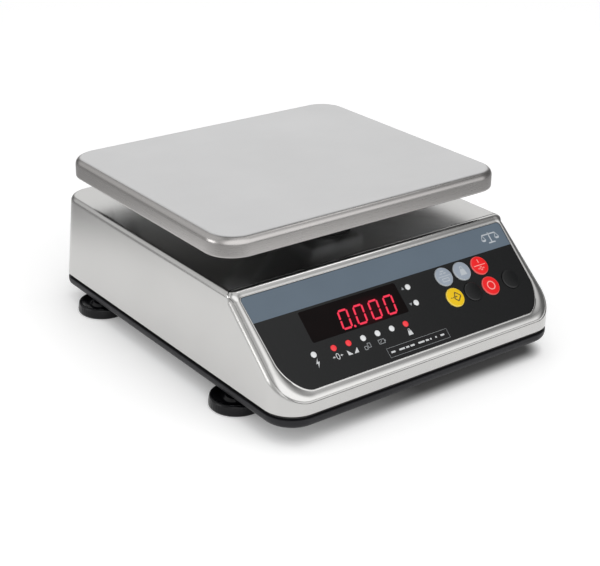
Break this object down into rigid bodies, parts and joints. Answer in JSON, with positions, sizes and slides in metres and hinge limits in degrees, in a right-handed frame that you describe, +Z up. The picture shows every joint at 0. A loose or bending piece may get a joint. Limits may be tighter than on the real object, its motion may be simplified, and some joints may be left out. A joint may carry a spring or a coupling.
{
  "type": "counter scale",
  "caption": "Stainless bench scale: lift-off pan on a load cell, sloping LED panel with round keys and indicator lamps, plastic base, levelling feet.",
  "frame": {"origin": "on the table, under the middle of the box that the scale fits in", "axes": "+Z up, +Y towards the back of the scale, +X to the right as the user faces the display"},
  "size_m": [0.2518, 0.284, 0.118],
  "materials": {
    "stainless_pan": "fine satin, brushed",
    "stainless_shell": "satin sides, polished along the rolled edges",
    "cast_aluminium": "as cast",
    "machined_aluminium": "machined",
    "zinc_steel": "zinc plated",
    "black_rubber": "matte",
    "base_plastic": "fine moulded grain",
    "foot_plastic": "glossy moulded",
    "overlay_film": "satin printed film",
    "window_red": "dark tinted, glossy",
    "digit_face": "potted resin",
    "light_guide": "clear moulding, diffused ends",
    "key_grey": "printed film, satin",
    "key_red": "printed film, satin",
    "key_yellow": "printed film, satin",
    "key_black": "embossed film, satin",
    "board_green": "solder resist",
    "battery_case": "moulded",
    "vial_green": "clear, tinted",
    "lead_grey": "insulation"
  },
  "bodies": {
    "housing": {"base_gasket": "black_rubber", "base_tray": "base_plastic", "battery": "battery_case", "battery_bracket": "zinc_steel", "battery_hatch": "base_plastic", "bottom_spacer": "machined_aluminium", "cell_screw_1": "zinc_steel", "cell_screw_2": "zinc_steel", "display_board": "board_green", "display_ribbon": "lead_grey", "display_window": "window_red", "dust_boot": "black_rubber", "front_overlay": "overlay_film", "gauge_potting": "black_rubber", "hatch_screw": "zinc_steel", "housing_screw_back_left": "zinc_steel", "housing_screw_back_right": "zinc_steel", "housing_screw_front_left": "zinc_steel", "housing_screw_front_right": "zinc_steel", "indicator_light_guide": "light_guide", "keypad_board": "board_green", "led_digit_1": "digit_face", "led_digit_2": "digit_face", "led_digit_3": "digit_face", "led_digit_4": "digit_face", "led_digit_5": "digit_face", "led_digit_6": "digit_face", "level_vial": "vial_green", "limit_light_guide": "light_guide", "load_cell": "machined_aluminium", "load_cell_lead": "lead_grey", "main_board": "board_green", "overload_stop": "zinc_steel", "panel_carrier": "base_plastic", "power_socket": "base_plastic", "top_housing": "stainless_shell"},
    "pan": {"weighing_pan": "stainless_pan"},
    "load_post": {"pan_spider": "cast_aluminium", "top_spacer": "machined_aluminium", "spider_screw_1": "zinc_steel", "spider_screw_2": "zinc_steel", "pan_buffer_1": "black_rubber", "pan_buffer_2": "black_rubber", "pan_buffer_3": "black_rubber", "pan_buffer_4": "black_rubber"},
    "key_function": {"key_function": "key_grey"},
    "key_unit": {"key_unit": "key_grey"},
    "key_zero": {"key_zero": "key_red"},
    "key_tare": {"key_tare": "key_yellow"},
    "key_blank_middle": {"key_blank_middle": "key_black"},
    "key_off": {"key_off": "key_red"},
    "key_blank_right": {"key_blank_right": "key_black"},
    "stud_front_left": {"foot_stud_front_left": "zinc_steel"},
    "disc_front_left": {"foot_disc_front_left": "foot_plastic"},
    "stud_front_right": {"foot_stud_front_right": "zinc_steel"},
    "disc_front_right": {"foot_disc_front_right": "foot_plastic"},
    "stud_back_left": {"foot_stud_back_left": "zinc_steel"},
    "disc_back_left": {"foot_disc_back_left": "foot_plastic"},
    "stud_back_right": {"foot_stud_back_right": "zinc_steel"},
    "disc_back_right": {"foot_disc_back_right": "foot_plastic"}
  },
  "joints": [
    {"name": "load_travel", "type": "slide", "parent": "housing", "child": "load_post", "axis": [0, 0, -1], "range_m": [0, 0.0005], "stiffness_N_per_m": 300000},
    {"name": "pan_lift", "type": "slide", "parent": "load_post", "child": "pan", "axis": [0, 0, 1], "range_m": [0, 0.06]},
    {"name": "key_function_press", "type": "slide", "parent": "housing", "child": "key_function", "axis": [0, 0.6521, -0.7581], "range_m": [0, 0.0005], "stiffness_N_per_m": 1500},
    {"name": "key_unit_press", "type": "slide", "parent": "housing", "child": "key_unit", "axis": [0, 0.6521, -0.7581], "range_m": [0, 0.0005], "stiffness_N_per_m": 1500},
    {"name": "key_zero_press", "type": "slide", "parent": "housing", "child": "key_zero", "axis": [0, 0.6521, -0.7581], "range_m": [0, 0.0005], "stiffness_N_per_m": 1500},
    {"name": "key_tare_press", "type": "slide", "parent": "housing", "child": "key_tare", "axis": [0, 0.6521, -0.7581], "range_m": [0, 0.0005], "stiffness_N_per_m": 1500},
    {"name": "key_blank_middle_press", "type": "slide", "parent": "housing", "child": "key_blank_middle", "axis": [0, 0.6521, -0.7581], "range_m": [0, 0.0005], "stiffness_N_per_m": 1500},
    {"name": "key_off_press", "type": "slide", "parent": "housing", "child": "key_off", "axis": [0, 0.6521, -0.7581], "range_m": [0, 0.0005], "stiffness_N_per_m": 1500},
    {"name": "key_blank_right_press", "type": "slide", "parent": "housing", "child": "key_blank_right", "axis": [0, 0.6521, -0.7581], "range_m": [0, 0.0005], "stiffness_N_per_m": 1500},
    {"name": "foot_front_left_travel", "type": "slide", "parent": "housing", "child": "stud_front_left", "axis": [0, 0, -1], "range_m": [0, 0.006]},
    {"name": "foot_front_left_turn", "type": "hinge", "parent": "stud_front_left", "child": "disc_front_left", "pos_m": [-0.107, -0.0728, 0], "axis": [0, 0, -1], "range_deg": [0, 1720]},
    {"name": "foot_front_right_travel", "type": "slide", "parent": "housing", "child": "stud_front_right", "axis": [0, 0, -1], "range_m": [0, 0.006]},
    {"name": "foot_front_right_turn", "type": "hinge", "parent": "stud_front_right", "child": "disc_front_right", "pos_m": [0.107, -0.0728, 0], "axis": [0, 0, -1], "range_deg": [0, 1720]},
    {"name": "foot_back_left_travel", "type": "slide", "parent": "housing", "child": "stud_back_left", "axis": [0, 0, -1], "range_m": [0, 0.006]},
    {"name": "foot_back_left_turn", "type": "hinge", "parent": "stud_back_left", "child": "disc_back_left", "pos_m": [-0.107, 0.1024, 0], "axis": [0, 0, -1], "range_deg": [0, 1720]},
    {"name": "foot_back_right_travel", "type": "slide", "parent": "housing", "child": "stud_back_right", "axis": [0, 0, -1], "range_m": [0, 0.006]},
    {"name": "foot_back_right_turn", "type": "hinge", "parent": "stud_back_right", "child": "disc_back_right", "pos_m": [0.107, 0.1024, 0], "axis": [0, 0, -1], "range_deg": [0, 1720]}
  ],
  "couplings": [
    {"joint": "foot_front_left_travel", "follows": "foot_front_left_turn", "m_per_rad": 0.00019894},
    {"joint": "foot_front_right_travel", "follows": "foot_front_right_turn", "m_per_rad": 0.00019894},
    {"joint": "foot_back_left_travel", "follows": "foot_back_left_turn", "m_per_rad": 0.00019894},
    {"joint": "foot_back_right_travel", "follows": "foot_back_right_turn", "m_per_rad": 0.00019894}
  ]
}
